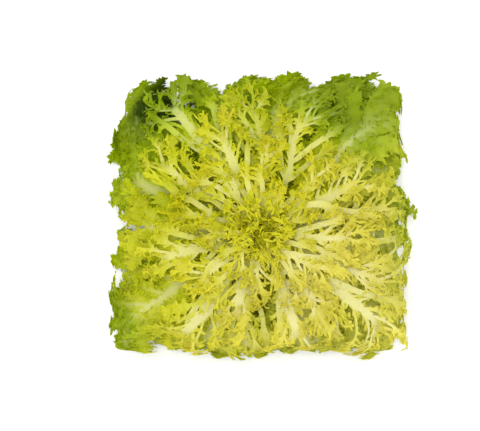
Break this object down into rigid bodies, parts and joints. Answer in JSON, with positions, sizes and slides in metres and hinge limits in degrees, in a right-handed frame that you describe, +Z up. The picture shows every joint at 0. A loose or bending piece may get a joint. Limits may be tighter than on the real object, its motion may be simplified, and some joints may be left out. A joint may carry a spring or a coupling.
{
  "type": "curly endive head",
  "caption": "Open, flattened head of fine curly endive: finely cut, curled leaves with pale ribs, green outside and yellow at the heart, on a short cut stem.",
  "frame": {"origin": "centre of the stem's flat cut face, which is level with the ground that the head rests on", "axes": "+Z up, out of the ground and through the growing centre; +Y is the side that is farther from the camera and longer, +X the camera's right"},
  "size_m": [0.2226, 0.2138, 0.0848],
  "materials": {
    "stem": "fleshy, matte, with a browned cut face",
    "outer_leaf": "soft satin green leaf with a pale rib",
    "middle_leaf": "soft satin yellow-green leaf with a pale rib",
    "heart_leaf": "soft satin pale yellow leaf with a pale rib"
  },
  "bodies": {
    "root": {"stem": "stem", "outer_leaf_01": "outer_leaf", "outer_leaf_02": "outer_leaf", "outer_leaf_03": "outer_leaf", "outer_leaf_04": "outer_leaf", "outer_leaf_05": "outer_leaf", "outer_leaf_06": "outer_leaf", "outer_leaf_07": "outer_leaf", "outer_leaf_08": "outer_leaf", "outer_leaf_09": "outer_leaf", "outer_leaf_10": "outer_leaf", "outer_leaf_11": "outer_leaf", "outer_leaf_12": "outer_leaf", "middle_leaf_01": "middle_leaf", "middle_leaf_02": "middle_leaf", "middle_leaf_03": "middle_leaf", "middle_leaf_04": "middle_leaf", "middle_leaf_05": "middle_leaf", "middle_leaf_06": "middle_leaf", "middle_leaf_07": "middle_leaf", "middle_leaf_08": "middle_leaf", "middle_leaf_09": "middle_leaf", "middle_leaf_10": "middle_leaf", "middle_leaf_11": "middle_leaf", "middle_leaf_12": "middle_leaf", "middle_leaf_13": "middle_leaf", "middle_leaf_14": "middle_leaf", "middle_leaf_15": "middle_leaf", "middle_leaf_16": "middle_leaf", "middle_leaf_17": "middle_leaf", "middle_leaf_18": "middle_leaf", "heart_leaf_01": "heart_leaf", "heart_leaf_02": "heart_leaf", "heart_leaf_03": "heart_leaf", "heart_leaf_04": "heart_leaf", "heart_leaf_05": "heart_leaf", "heart_leaf_06": "heart_leaf", "heart_leaf_07": "heart_leaf", "heart_leaf_08": "heart_leaf", "heart_leaf_09": "heart_leaf", "heart_leaf_10": "heart_leaf", "heart_leaf_11": "heart_leaf", "heart_leaf_12": "heart_leaf", "heart_leaf_13": "heart_leaf", "heart_leaf_14": "heart_leaf", "heart_leaf_15": "heart_leaf", "heart_leaf_16": "heart_leaf", "heart_leaf_17": "heart_leaf", "heart_leaf_18": "heart_leaf", "heart_leaf_19": "heart_leaf", "heart_leaf_20": "heart_leaf"}
  },
  "joints": []
}
